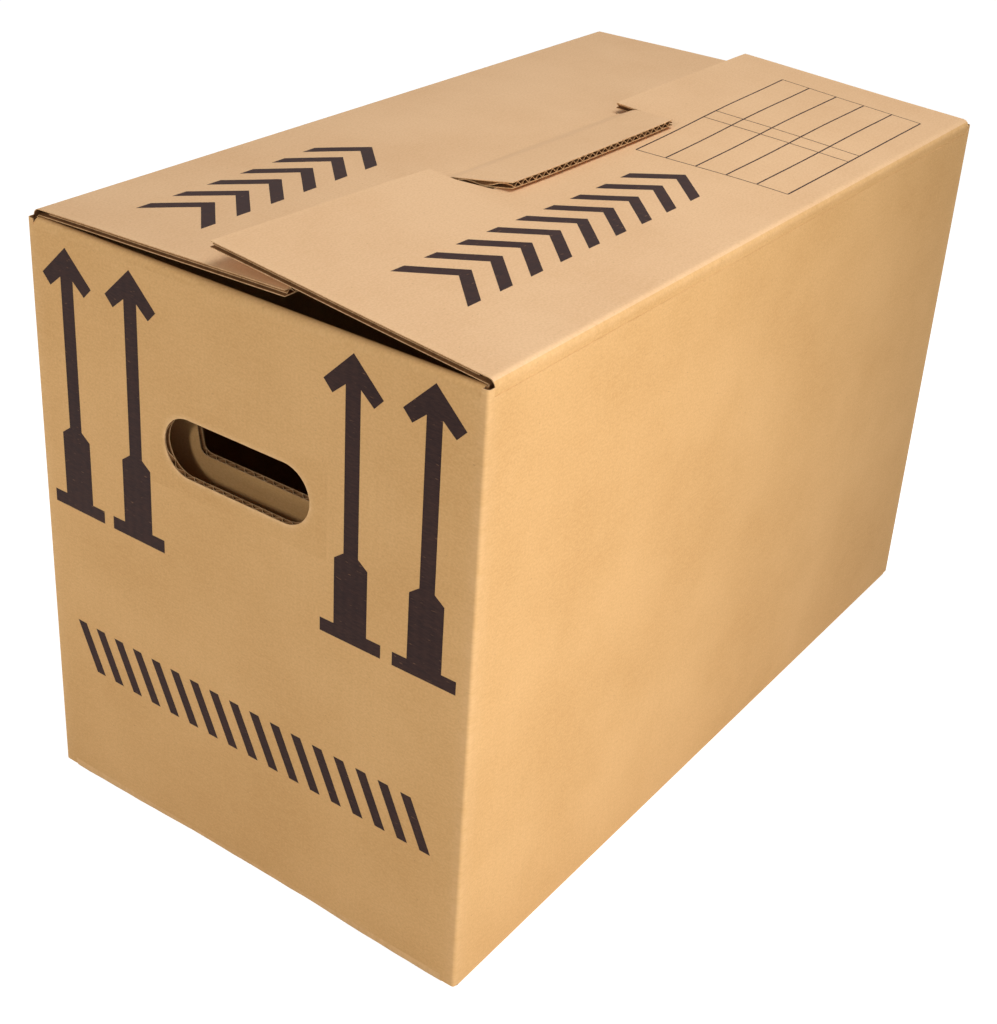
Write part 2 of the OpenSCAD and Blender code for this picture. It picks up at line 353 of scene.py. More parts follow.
def crushed(turn):
    """How far the outer face of an upright fold stands out from its round form at a turn of 0 to 90 degrees.
    The two walls' faces run on towards their corner and are joined there by a small radius: the ray at
    the turn meets the first face at R / cos, the second at R / sin, and the small circle between them at
    m (cos + sin) + sqrt((m (cos + sin))^2 - 2 m^2 + r^2), with r the small radius and m = R - r."""
    r, m = UPRIGHT_OUT, FOLD_OUT - UPRIGHT_OUT
    cos, sin = np.cos(turn), np.sin(turn)
    corner = math.atan2(m, FOLD_OUT)
    both = m * (cos + sin)
    circle = both + np.sqrt(np.maximum(both**2 - 2 * m**2 + r**2, 0))
    ray = np.where(turn < corner, FOLD_OUT / np.maximum(cos, 0.1), circle)
    ray = np.where(turn > QUARTER - corner, FOLD_OUT / np.maximum(sin, 0.1), ray)
    return ray - FOLD_OUT


def belt(u, z, w):
    """The four walls as one belt: a point goes along the plan's path by u and up by z. Each wall bulges a
    little, and has a faint unevenness that fades at its folds, whose outer faces are crisp."""
    x, y, nx, ny = path_point(BELT, BELT_START, 0.0, u)
    for k in UPRIGHT_FOLDS:
        turn = np.clip(share_of_run(u, k), 0, 1) * QUARTER
        w = w + crushed(turn) * outwards_share(w)
    bulge = np.zeros(np.broadcast(u, z).shape)
    for k, rise, seed in BULGES:
        across = share_of_run(u, k)
        inside = (across > 0) & (across < 1)
        level = (z - END_WALL_LOW) / (END_WALL_TOP - END_WALL_LOW)
        shape = swell(across, level) * (rise + UNEVEN * waves(u, z, seed, 0.16))
        bulge = bulge + np.where(inside, shape, 0.0)
    return np.stack([x + nx * (w + bulge), y + ny * (w + bulge), z + 0 * x + 0 * w], -1)


def end_wall(side):
    """The surface of one end wall, from the middle outwards: y across, z up. side -1 is the front."""

    def place(y, z, w):
        middle = FRONT_MIDDLE + y if side < 0 else BACK_MIDDLE - y
        return belt(middle, z, w)

    return place


END_FLAP_RUN = END_FLAP - FOLD_MID * END_FLAP_TURN
END_FLAP_PATH = [fold(-END_FLAP_TURN), (END_FLAP_RUN, 0.0)]
END_FLAP_BEND = path_length(END_FLAP_PATH[:1])
END_FLAP_BOW = 0.001
# The bend is wider than the flap by this share, which fades over this length past the bend.
BEND_WIDER = 0.0335
BEND_FADE = 0.012


def end_flap(side):
    """The top flap of an end wall: the path goes up from the wall, over a tight bend of most of a half turn,
    and down inside the box. Its lower part is bowed by a millimetre."""

    def place(y, s, w):
        p, q, out_p, out_q = path_point(END_FLAP_PATH, (HALF_BOARD, END_WALL_TOP), QUARTER, s)
        down = np.clip((s - END_FLAP_BEND) / END_FLAP_RUN, 0, 1)
        w = w + END_FLAP_BOW * np.sin(math.pi * down) * np.cos(math.pi * y / (2 * STRIP_HALF))
        return np.stack([side * (LENGTH / 2 - p - out_p * w), y + 0 * p, q + out_q * w], -1)

    return place


BASE_FLAP_RUN = WIDTH / 2 - FOLD_OUT - SEAM_GAP / 2
BASE_FLAP_PATH = [(BASE_FLAP_RUN, 0.0), fold(-QUARTER)]
BASE_FLAP_BEND = path_length(BASE_FLAP_PATH)


def base_flap(side):
    """An outer bottom flap: from the seam it lies on the floor to its wall, and bends up into it."""

    def place(x, s, w):
        p, q, out_p, out_q = path_point(BASE_FLAP_PATH, (-SEAM_GAP / 2, HALF_BOARD), math.pi, s)
        return np.stack([x + 0 * p, -side * (p + out_p * w), q + out_q * w], -1)

    return place


INNER_FLAP_RUN = INNER_FLAP - FOLD_OUT
INNER_FLAP_PATH = [(INNER_FLAP_RUN, 0.0), fold(-QUARTER)]
INNER_FLAP_BEND = path_length(INNER_FLAP_PATH)
# How far the fold hangs down in its middle, and how much further near the corners.
HANG = 0.0012
HANG_MORE = 0.0022


def inner_flap(side):
    """An inner bottom flap: it lies on the outer flaps and bends up into its end wall. Its fold hangs down
    in front of the outer flaps' ends, by half a sine wave round the bend, most near the corners."""

    def place(y, s, w):
        start = (-LENGTH / 2 + INNER_FLAP, INNER_FLAP_Z + HALF_BOARD)
        p, q, out_p, out_q = path_point(INNER_FLAP_PATH, start, math.pi, s)
        turn = np.clip((s - INNER_FLAP_RUN) / (INNER_FLAP_BEND - INNER_FLAP_RUN), 0, 1)
        more = HANG_MORE * smooth_step((np.abs(y) - 0.03) / 0.11)
        hang = HANG + more + UNEVEN * waves(y, 0 * y, 21, 0.02)
        q = q - hang * np.sin(math.pi * turn) * outwards_share(w)
        return np.stack([-side * (p + out_p * w), y + 0 * p, q + out_q * w], -1)

    return place


# How the lids are warped: slopes in degrees, and how far their middle is pressed down or bowed up, over
# what half width.
NEAR_SLOPE = 4.40
NEAR_TWIST = 4.7
FAR_SLOPE = 0.3
FAR_TWIST = 1.7
FAR_TWIST_POWER = 2.2
PRESS = 0.0045
BOW = 0.0025
MIDDLE_HALF = 0.16


def lid_unevenness(x, r, seed, height):
    """Gentle waves of a lid, which grow from nothing at its hinge."""
    return height * waves(x, r, seed, 0.12) * smooth_step(r / 0.06)


def near_slope(x):
    """Slope of the near lid: steeper at the front end, where it has sprung up, and gentler at the back."""
    return np.radians(NEAR_SLOPE - NEAR_TWIST * x)


def near_mid(x, r):
    """Mid surface of the near lid. At the distance r from its hinge it has risen by r less the fold's radius,
    times the tangent of its slope; the tongue presses its middle down in a bell of 4.5 mm."""
    slope = near_slope(x)
    press = PRESS * bell(x, 0, MIDDLE_HALF) * smooth_step((r - 0.02) / 0.15)
    rise = (r - FOLD_MID) * np.tan(slope) - press + lid_unevenness(x, r, 11, 0.0004)
    return np.stack([x + 0 * r, -HINGE_Y + r * np.cos(slope), HINGE_Z + rise], -1)


def far_slope(x):
    """Slope of the far lid: two degrees at the front end, falling to almost nothing at the back."""
    from_back = np.clip((LENGTH / 2 - x) / LENGTH, 0, 1.2)
    return np.radians(FAR_SLOPE + FAR_TWIST * from_back**FAR_TWIST_POWER)


def far_flat(x, r):
    """Height of the far lid's mid surface over its hinge, without the tongue: its slope, and a bow of 2.5 mm
    in its middle."""
    bow = BOW * np.sin(math.pi * np.clip(r / FAR_REACH, 0, 1)) * bell(x, 0, MIDDLE_HALF)
    return (r - FOLD_MID) * np.tan(far_slope(x)) + bow + lid_unevenness(x, r, 13, UNEVEN)


def tongue_half(r):
    """Half width of the tongue at the distance r from its hinge: it narrows evenly over its last 34 mm."""
    return TONGUE_HALF - TONGUE_TAPER * np.clip(1 - (FAR_REACH - r) / TONGUE_TAPER_RUN, 0, 1)


def far_mid(x, r):
    """Mid surface of the far lid. Past the slits the tongue bends up out of it in a smooth step, into a
    straight ramp that crosses the near lid and ends above it: its height over the near lid grows evenly
    from nothing at the crossing to 6.2 mm, board and gap, at the tip."""
    slope = far_slope(x)
    y = HINGE_Y - r * np.cos(slope)
    flat = far_flat(x, r)
    ramp = TONGUE_TIP_RISE * (r - TONGUE_CROSSES) / (FAR_REACH - TONGUE_CROSSES)
    over = near_mid(x, y + HINGE_Y)[..., 2] - HINGE_Z + ramp
    on_tongue = np.abs(x) < tongue_half(r) + 2e-5
    go = smooth_step((r - SLIT_FROM) / (TONGUE_UP - SLIT_FROM)) * on_tongue
    return np.stack([x + 0 * r, y, HINGE_Z + flat * (1 - go) + over * go], -1)


def on_surface(mid, outwards):
    """Turns a mid surface into a place: w goes along its normal, found from two small steps on it."""

    def place(x, r, w):
        e = 1e-5
        inward = np.where(x > 0, -e, e)
        at = mid(x, r)
        across = (mid(x + inward, r) - at) * np.sign(inward)[..., None]
        along = mid(x, r + e) - mid(x, r - e)
        normal = np.cross(across, along) * outwards
        normal /= np.linalg.norm(normal, axis=-1, keepdims=True)
        return at + normal * np.broadcast_to(w, at.shape[:-1])[..., None]

    return place


def squeezed(t, mark, half):
    """A lid's column t moved inwards, so that the one at mark lies at half: those inside it draw together
    alike, and those outside make room for it, from 110 to 150 mm less and less."""
    inside = t * half / mark
    outside = t - np.sign(t) * (mark - half) * np.clip((0.150 - np.abs(t)) / 0.040, 0, 1)
    return np.where(np.abs(t) <= mark, inside, outside)


def near_columns(t, r):
    """The near lid's columns: the sides of its notch follow the tongue, two millimetres off."""
    return squeezed(t, NOTCH_HALF, tongue_half(2 * HINGE_Y - r) + NOTCH_HALF - TONGUE_HALF)


def far_columns(t, r):
    """The far lid's columns: they follow the sides of the tongue."""
    return squeezed(t, TONGUE_HALF, tongue_half(r))


near_lid_place = on_surface(near_mid, 1)
far_lid_place = on_surface(far_mid, -1)


def fold_strip(mid, slope_of, side):
    """Mid surface of the fold between a long wall and its lid. s from 0 to 1 goes up the wall, from 1 to 2
    round the fold, and from 2 to 3 along the lid, from exactly where the fold ends."""

    def strip(x, s):
        slope = slope_of(x)
        turn = (QUARTER - slope) * np.clip(s - 1, 0, 1)
        up = END_WALL_TOP + (HEIGHT - FOLD_OUT - END_WALL_TOP) * np.clip(s, 0, 1)
        y = side * (WIDTH / 2 - FOLD_OUT + FOLD_MID * np.cos(turn))
        z = up + FOLD_MID * np.sin(turn)
        first = HINGE_Y - (WIDTH / 2 - FOLD_OUT + FOLD_MID * np.sin(slope))
        root = mid(x, first + 0 * s)
        lid = mid(x, first + (LID_START - first) * np.clip(s - 2, 0, 1))
        mend = np.clip(3 - s, 0, 1)
        lid_y = lid[..., 1] + (y - root[..., 1]) * mend
        lid_z = lid[..., 2] + (z - root[..., 2]) * mend
        return np.stack([x + 0 * s, np.where(s > 2, lid_y, y), np.where(s > 2, lid_z, z)], -1)

    return strip


# Finishes: node groups for what several papers share, and one material for each.


def new_group(name, inputs, outputs):
    """A shader node group with its named sockets, and its input and output nodes."""
    group = bpy.data.node_groups.new(name, "ShaderNodeTree")
    for label, kind, value in inputs:
        socket = group.interface.new_socket(label, in_out="INPUT", socket_type=kind)
        if value is not None:
            socket.default_value = value
    for label, kind in outputs:
        group.interface.new_socket(label, in_out="OUTPUT", socket_type=kind)
    return group, group.nodes.new("NodeGroupInput"), group.nodes.new("NodeGroupOutput")


def node(tree, kind, values=None, links=None, **settings):
    """A node with its settings, the values of its inputs, and what its inputs are linked from."""
    made = tree.nodes.new(kind)
    for key, value in settings.items():
        setattr(made, key, value)
    for key, value in (values or {}).items():
        made.inputs[key].default_value = value
    for key, source in (links or {}).items():
        tree.links.new(source, made.inputs[key])
    return made


def maths(tree, operation, *terms):
    """A Math node of terms that are numbers or sockets."""
    made = node(tree, "ShaderNodeMath", operation=operation)
    for i, term in enumerate(terms):
        if isinstance(term, (int, float)):
            made.inputs[i].default_value = term
        else:
            tree.links.new(term, made.inputs[i])
    return made.outputs[0]


def mixed(tree, factor, first, second):
    """A colour mixed from two, each a socket or a colour."""
    made = node(tree, "ShaderNodeMix", data_type="RGBA")
    for socket, source in ((made.inputs[0], factor), (made.inputs[6], first), (made.inputs[7], second)):
        if isinstance(source, (int, float, tuple)):
            socket.default_value = source
        else:
            tree.links.new(source, socket)
    return made.outputs[2]


def weighted(tree, first, share, second, other_share):
    """The sum of two sockets, each times a number."""
    return maths(tree, "ADD", maths(tree, "MULTIPLY", first, share),
                 maths(tree, "MULTIPLY", second, other_share))


def noise(tree, place, scale, detail, roughness=0.5):
    """Noise read at a place."""
    values = {"Scale": scale, "Detail": detail, "Roughness": roughness}
    return node(tree, "ShaderNodeTexNoise", values, {"Vector": place}).outputs[0]


def ranged(tree, value, low, high, to_low, to_high):
    """The value taken from one range into another, and held inside it."""
    made = node(tree, "ShaderNodeMapRange", {1: low, 2: high, 3: to_low, 4: to_high}, {0: value})
    return made.outputs[0]


def paint(red, green, blue):
    """A colour from its sRGB numbers, 0 to 255, as linear light."""
    shares = (red / 255, green / 255, blue / 255)
    linear = [c / 12.92 if c <= 0.04045 else ((c + 0.055) / 1.055) ** 2.4 for c in shares]
    return (*linear, 1.0)


def paper_fibre_group():
    """Fibres of kraft paper: noise drawn out along the machine's direction, fine and coarse, an even mottling
    of a millimetre or two, with the odd dark fleck and pale shive."""
    inputs = [("Place", "NodeSocketVector", None)]
    outputs = [("Fibre", "NodeSocketFloat"), ("Mottle", "NodeSocketFloat"), ("Cloud", "NodeSocketFloat"),
               ("Fleck", "NodeSocketFloat"), ("Shive", "NodeSocketFloat")]
    group, start, end = new_group("paper_fibre", inputs, outputs)
    place = start.outputs["Place"]

    def stretched(scale, detail, stretch, offset):
        mapping = node(group, "ShaderNodeMapping", {1: offset, 3: stretch}, {0: place})
        return noise(group, mapping.outputs[0], scale, detail, 0.6)

    fine = stretched(900, 3, (0.28, 1.0, 1.0), (0, 0, 0))
    coarse = stretched(240, 2, (0.35, 1.0, 1.0), (3, 1, 2))
    group.links.new(weighted(group, fine, 0.6, coarse, 0.4), end.inputs["Fibre"])
    group.links.new(stretched(800, 2, (0.8, 1.0, 1.0), (2, 6, 4)), end.inputs["Mottle"])
    group.links.new(stretched(9, 3, (1.0, 1.0, 1.0), (5, 2, 1)), end.inputs["Cloud"])
    fleck = stretched(620, 1, (0.5, 1.0, 1.0), (7, 4, 3))
    group.links.new(ranged(group, fleck, 0.72, 0.78, 0, 1), end.inputs["Fleck"])
    shive = stretched(520, 1, (0.3, 1.4, 1.0), (1, 9, 5))
    group.links.new(ranged(group, shive, 0.70, 0.77, 0, 1), end.inputs["Shive"])
    return group


def washboard_group():
    """The faint ribs that the flutes press through a liner: a sine of the way across them, whose strength
    comes and goes."""
    inputs = [("Place", "NodeSocketVector", None)]
    group, start, end = new_group("flute_washboard", inputs, [("Rib", "NodeSocketFloat")])
    place = start.outputs["Place"]
    split = node(group, "ShaderNodeSeparateXYZ", links={0: place})
    wobble = noise(group, place, 14.0, 1.0)
    turn = maths(group, "MULTIPLY", split.outputs[0], 2 * math.pi / FLUTE)
    rib = maths(group, "SINE", maths(group, "ADD", turn, maths(group, "MULTIPLY", wobble, 1.2)))
    strength = ranged(group, wobble, 0.35, 0.65, 0.25, 1.0)
    group.links.new(maths(group, "MULTIPLY", rib, strength), end.inputs["Rib"])
    return group


def fold_wear_and_highlight_group():
    """Wear along folds and edges, and the painted highlight on folds: the sheet's own wear and highlight,
    broken up by noise.
    """
    inputs = [("Place", "NodeSocketVector", None), ("Wear", "NodeSocketFloat", 0.0)]
    group, start, end = new_group("fold_wear_and_highlight", inputs, [("Worn_and_highlit", "NodeSocketFloat")])
    patchy = ranged(group, noise(group, start.outputs["Place"], 160.0, 3.0), 0.3, 0.62, 0.25, 1.0)
    worn = maths(group, "MULTIPLY", start.outputs["Wear"], patchy)
    group.links.new(worn, end.inputs["Worn_and_highlit"])
    return group


FIBRE = paper_fibre_group()
WASHBOARD = washboard_group()
WEAR_AND_HIGHLIGHT = fold_wear_and_highlight_group()


def paper_material(name):
    """A new material with its node tree, its Principled BSDF, the sheet's coordinates, and the fibres and
    other traits of paper that lie on them."""
    material = bpy.data.materials.new(name)
    material.use_nodes = True
    tree = material.node_tree
    uv = node(tree, "ShaderNodeUVMap", uv_map="sheet").outputs[0]
    traits = node(tree, "ShaderNodeGroup", node_tree=FIBRE, links={"Place": uv}).outputs
    return material, tree, tree.nodes["Principled BSDF"], uv, traits


def raised(tree, shader, height):
    """Lets a height in metres raise the surface, in its shading alone."""
    bump = node(tree, "ShaderNodeBump", {"Strength": 1.0, "Distance": 1.0}, {"Height": height})
    tree.links.new(bump.outputs[0], shader.inputs["Normal"])


# How far each trait changes the colour of a liner paper, from 0 to 1.
STREAK = 0.34
# The ribs' troughs are darkened by this share, as painted shade.
RIB_TROUGH_SHADE = 0.10
MOTTLE = 0.24
SPECK = 0.22
# The share of the paler fold colour: partly wear, partly painted highlight.
WORN_AND_HIGHLIT = 0.75


def kraft(name, base, dark, pale, worn_and_highlight_colour, rib_depth, rough):
    """Brown liner paper: its tone drifts in clouds between dark and base, fibres streak it, the ribs' troughs
    take a little painted shade, flecks and pale shives dot it, and its folds are paler, partly from wear and
    partly as a painted highlight. Fibres and ribs also raise the surface."""
    material, tree, shader, uv, traits = paper_material(name)
    shade = tuple(c * 0.86 for c in dark[:3]) + (1.0,)
    rib = node(tree, "ShaderNodeGroup", node_tree=WASHBOARD, links={"Place": uv}).outputs[0]
    worn = node(tree, "ShaderNodeAttribute", attribute_name="wear_and_highlight").outputs["Fac"]
    wear_and_highlight = node(tree, "ShaderNodeGroup", node_tree=WEAR_AND_HIGHLIGHT, links={"Place": uv, "Wear": worn}).outputs[0]
    colour = mixed(tree, ranged(tree, traits["Cloud"], 0.35, 0.65, 0, 1), dark, base)
    streak = ranged(tree, traits["Fibre"], 0.35, 0.65, 0.0, STREAK)
    colour = mixed(tree, streak, colour, pale)
    # Painted shade: the ribs' troughs drawn a little darker.
    colour = mixed(tree, ranged(tree, rib, -1, 1, RIB_TROUGH_SHADE, 0.0), colour, dark)
    colour = mixed(tree, ranged(tree, traits["Mottle"], 0.38, 0.52, MOTTLE, 0.0), colour, shade)
    colour = mixed(tree, ranged(tree, traits["Mottle"], 0.50, 0.66, 0.0, MOTTLE), colour, pale)
    colour = mixed(tree, maths(tree, "MULTIPLY", traits["Fleck"], SPECK), colour, paint(120, 78, 42))
    colour = mixed(tree, maths(tree, "MULTIPLY", traits["Shive"], SPECK), colour, worn_and_highlight_colour)
    # Paler folds: partly wear, partly a painted highlight on fold crests and corners.
    colour = mixed(tree, maths(tree, "MULTIPLY", wear_and_highlight, WORN_AND_HIGHLIT), colour, worn_and_highlight_colour)
    tree.links.new(colour, shader.inputs["Base Color"])
    roughness = ranged(tree, traits["Fibre"], 0.3, 0.7, rough - 0.06, rough + 0.06)
    tree.links.new(roughness, shader.inputs["Roughness"])
    shader.inputs["Specular IOR Level"].default_value = 0.28
    raised(tree, shader, weighted(tree, traits["Fibre"], 0.00006, rib, rib_depth))
    return material


def rough_paper(name, base, dark):
    """Rough paper with torn fibres: the raw cut edge in its own colour, and, darker, the painted shade of the
    flutes' hollows on the wavy medium and the liners' sides towards it.
    """
    material, tree, shader, _, traits = paper_material(name)
    colour = mixed(tree, ranged(tree, traits["Fibre"], 0.35, 0.65, 0, 1), dark, base)
    tree.links.new(colour, shader.inputs["Base Color"])
    shader.inputs["Roughness"].default_value = 0.92
    shader.inputs["Specular IOR Level"].default_value = 0.15
    raised(tree, shader, maths(tree, "MULTIPLY", traits["Fibre"], 0.0002))
    return material


def print_ink(name, base, thin):
    """Flexographic ink on kraft: almost black brown, thinner in small clouds and where the flutes' ribs let
    the plate touch less, with pinholes along the fibres."""
    material, tree, shader, uv, traits = paper_material(name)
    rib = node(tree, "ShaderNodeGroup", node_tree=WASHBOARD, links={"Place": uv}).outputs[0]
    mottle = weighted(tree, traits["Fibre"], 0.75, traits["Cloud"], 0.25)
    mottle = maths(tree, "ADD", mottle, maths(tree, "MULTIPLY", rib, 0.025))
    colour = mixed(tree, ranged(tree, mottle, 0.40, 0.66, 0.0, 1.0), base, thin)
    colour = mixed(tree, maths(tree, "MULTIPLY", traits["Shive"], 0.4), colour, paint(150, 110, 80))
    tree.links.new(colour, shader.inputs["Base Color"])
    shader.inputs["Specular IOR Level"].default_value = 0.12
    roughness = ranged(tree, traits["Fibre"], 0.3, 0.7, 0.6, 0.76)
    tree.links.new(roughness, shader.inputs["Roughness"])
    raised(tree, shader, maths(tree, "MULTIPLY", traits["Fibre"], 0.00005))
    return material


# The walls and lids are one board. The lids' kraft is the walls' kraft made paler and pinker: painted light
# on the lids' upward faces.
kraft_wall = kraft("kraft_wall", paint(216, 170, 112), paint(204, 157, 98), paint(228, 186, 132),
                   paint(234, 193, 142), 0.000035, 0.78)
kraft_lid = kraft("kraft_lid", paint(228, 187, 143), paint(219, 176, 131), paint(236, 199, 158),
                  paint(235, 197, 151), 0.00003, 0.76)
board_edge = rough_paper("board_edge", paint(226, 186, 140), paint(186, 144, 100))
# Painted shade of the flutes' hollows, for the wavy medium and the liners' sides towards it.
flute_shade = rough_paper("flute_shade", paint(166, 120, 78), paint(118, 80, 48))
ink = print_ink("print_ink", paint(40, 24, 23), paint(64, 44, 39))

PAPERS = [kraft_wall, board_edge, flute_shade]
LID_PAPERS = [kraft_lid, board_edge, flute_shade]
FOLD_PAPERS = [kraft_lid, board_edge, flute_shade, kraft_wall]


# Walls.

WINDOW_HALF = 0.0675
WINDOW_RISE = 0.030
WINDOW_LOW = HAND_Z - WINDOW_RISE
WINDOW_HIGH = HAND_Z + WINDOW_RISE
# The outline of a hand hole stays this high at least, so that no cell of its grid folds over.
LEAST_RISE = 0.0022
# How far the glue flap's ends are cut back.
GLUE_CUT = 0.014
# Steps of the bottom flaps' grids, and of their bends.
FLAP_STEP = 0.012
BEND_STEP = 0.0006


def bend_wear(strength, middle, width):
    """Wear along a bend: a bell round a distance along the flap."""

    def worn(_, along):
        return strength * bell(along, middle, width)

    return worn


def fold_wear_and_highlight(u, v):
    """Wear and painted highlight of the walls: strongest on the four upright folds and falling off beside
    them, partly wear and partly a painted highlight on the corners, and a little wear at the bottom."""
    centres = np.array([(BELT_ENDS[k] + BELT_ENDS[k + 1]) / 2 for k in UPRIGHT_FOLDS])
    off = np.abs(u[..., None] - centres).min(axis=-1)
    return np.clip(0.4 * bell(off, 0, 0.003) + 0.12 * bell(v, 0.004, 0.004), 0, 1)


def wall_sheets():
    """The belt of walls as solid board, with fluted board round the hand holes. Its upright folds go up
    past the end walls' tops, as posts beside the ends of the lids' folds."""
    arcs = []
    for k in UPRIGHT_FOLDS:
        turns = np.array([0, 17, 30, 34, 38, 42, 45, 48, 52, 56, 60, 73, 90]) / 90
        arcs += list(BELT_ENDS[k] + (BELT_ENDS[k + 1] - BELT_ENDS[k]) * turns)
    windows = [FRONT_HAND - WINDOW_HALF, FRONT_HAND + WINDOW_HALF]
    windows += [BACK_MIDDLE - WINDOW_HALF, BACK_MIDDLE + WINDOW_HALF]
    strips = [FRONT_MIDDLE - STRIP_HALF, FRONT_MIDDLE + STRIP_HALF]
    strips += [BACK_MIDDLE - STRIP_HALF, BACK_MIDDLE + STRIP_HALF]
    u = steps(0.0, BELT_ENDS[-1], size=0.009, also=arcs + windows + strips)
    glue_low, glue_high = END_WALL_LOW + GLUE_CUT, END_WALL_TOP - GLUE_CUT
    rows = (END_WALL_LOW, glue_low, glue_high, WINDOW_LOW, WINDOW_HIGH)
    z = steps(FOLD_OUT, END_WALL_TOP, size=0.010, also=rows)
    mid_u = midpoints(u)
    mid_z = midpoints(z)
    off_hand = np.minimum(np.abs(mid_u - FRONT_HAND), np.abs(mid_u - BACK_MIDDLE))
    window = (off_hand < WINDOW_HALF)[:, None] & ((mid_z > WINDOW_LOW) & (mid_z < WINDOW_HIGH))[None, :]
    off_end = np.minimum(np.abs(mid_u - FRONT_MIDDLE), np.abs(mid_u - BACK_MIDDLE))
    below = (off_end < STRIP_HALF)[:, None] & (mid_z < END_WALL_LOW)[None, :]
    beside_glue = ((mid_z < glue_low) | (mid_z > glue_high))[None, :] & (mid_u < BELT_ENDS[1])[:, None]
    whole = sheet(u, z, belt, -HALF_BOARD, HALF_BOARD, ~(window | below | beside_glue), fold_wear_and_highlight)
    post = mid_u > BELT_ENDS[8] + LONG_RUN
    for k in UPRIGHT_FOLDS:
        post = post | ((mid_u > BELT_ENDS[k]) & (mid_u < BELT_ENDS[k + 1]))
    up = np.array([END_WALL_TOP, POST_TOP])
    posts = liners(u, up, belt, post[:, None], fold_wear_and_highlight)
    return [whole] + posts + hand_window(FRONT_HAND, HAND_Z + HAND_UP) + hand_window(BACK_MIDDLE, HAND_Z)


def hole_grid(centre, half, rise, radius, low, high, end_half):
    """Columns and rows round a hand hole. The rows below and above it squeeze towards its outline, whose
    half height at the distance t from its middle is the rise less the radius, plus the root of the
    radius squared less the square of how far t goes into the round end."""
    angles = np.radians([8, 16, 24, 32, 40, 48, 56, 64, 72, 79])
    ends = half - radius + radius * np.sin(angles)
    wanted = [-half, half] + list(ends) + list(-ends) + [radius - half, half - radius]
    off = flute_columns(-end_half, end_half, wanted)
    into = np.clip(np.abs(off) - (half - radius), 0, radius)
    outline = np.maximum(rise - radius + np.sqrt(np.maximum(radius**2 - into**2, 0)), LEAST_RISE)
    share = np.linspace(0, 1, 7)
    lower = low + (centre - outline - low)[:, None] * share
    upper = high + (centre + outline - high)[:, None] * share[::-1]
    rows = np.concatenate([lower, upper], axis=1)
    keep = np.ones((len(off) - 1, rows.shape[1] - 1), bool)
    keep[np.abs(midpoints(off)) < half, len(share) - 1] = False
    return off, rows, keep


def hand_window(middle, centre):
    """Fluted board round an outer hand hole, whose ends are half circles and whose middle is at a height."""
    off, rows, keep = hole_grid(centre, HAND_HALF, HAND_RISE, HAND_RISE, WINDOW_LOW, WINDOW_HIGH, WINDOW_HALF)
    straight = HAND_HALF - HAND_RISE

    def place(t, z, w):
        return belt(middle + t, z, w)

    def worn(t, z):
        from_edge = np.abs(np.hypot(np.maximum(np.abs(t) - straight, 0), z - centre) - HAND_RISE)
        return np.clip(1 - from_edge / 0.003, 0, 1)

    return liners(off, rows, place, keep, worn) + [medium(off, rows, place, keep)]


walls = piece("walls", wall_sheets(), "root", PAPERS)


def end_flap_sheets(side):
    """An end top flap: its bend is crushed hollow and a little wider than the rest, which is solid board
    with fluted board round its hand hole."""
    place = end_flap(side)
    centre = END_FLAP_BEND + END_WALL_TOP - HAND_Z
    low, high = centre - WINDOW_RISE, centre + WINDOW_RISE
    end = END_FLAP_BEND + END_FLAP_RUN
    y = steps(-STRIP_HALF, STRIP_HALF, size=0.010, also=(-WINDOW_HALF, WINDOW_HALF))
    s = joined(steps(0, END_FLAP_BEND, size=0.0005), steps(END_FLAP_BEND, end, size=0.008, also=(low, high)))
    mid_y = midpoints(y)
    mid_s = midpoints(s)
    window = (np.abs(mid_y) < WINDOW_HALF)[:, None] & ((mid_s > low) & (mid_s < high))[None, :]
    worn = bend_wear(0.12, END_FLAP_BEND * 0.5, 0.006)
    bend = (mid_s < END_FLAP_BEND)[None, :] & np.ones(len(mid_y), bool)[:, None]
    widened = y[:, None] * (1 + BEND_WIDER * (1 - smooth_step((s[None, :] - END_FLAP_BEND) / BEND_FADE)))
    whole = sheet(widened, s, place, -HALF_BOARD, HALF_BOARD, ~window & ~bend, worn)
    over = liners(widened, s, place, bend, worn)
    off, rows, keep = hole_grid(centre, HAND_HALF, HAND_RISE, HAND_INNER_R, low, high, WINDOW_HALF)
    return [whole] + over + liners(off, rows, place, keep) + [medium(off, rows, place, keep)]


def base_flap_sheets(side):
    """An outer bottom flap with its fold. The fold stops short of the corner posts."""
    place = base_flap(side)
    post = LENGTH / 2 - FOLD_OUT
    x = steps(-LENGTH / 2 + FLAP_INSET, LENGTH / 2 - FLAP_INSET, FLAP_STEP, (-post, post))
    s = joined(steps(0, BASE_FLAP_RUN, FLAP_STEP), steps(BASE_FLAP_RUN, BASE_FLAP_BEND, BEND_STEP))
    mid_x = midpoints(x)
    mid_s = midpoints(s)
    past_post = (np.abs(mid_x) > post)[:, None] & (mid_s > BASE_FLAP_RUN)[None, :]
    worn = bend_wear(0.8, BASE_FLAP_BEND - 0.002, 0.005)
    return [sheet(x, s, place, -HALF_BOARD, HALF_BOARD, ~past_post, worn)]


def inner_flap_sheets(side):
    """An inner bottom flap with its fold."""
    place = inner_flap(side)
    y = steps(-STRIP_HALF, STRIP_HALF, FLAP_STEP)
    s = joined(steps(0, INNER_FLAP_RUN, FLAP_STEP), steps(INNER_FLAP_RUN, INNER_FLAP_BEND, BEND_STEP))
    worn = bend_wear(0.8, INNER_FLAP_BEND - 0.002, 0.005)
    return [sheet(y, s, place, -HALF_BOARD, HALF_BOARD, None, worn)]


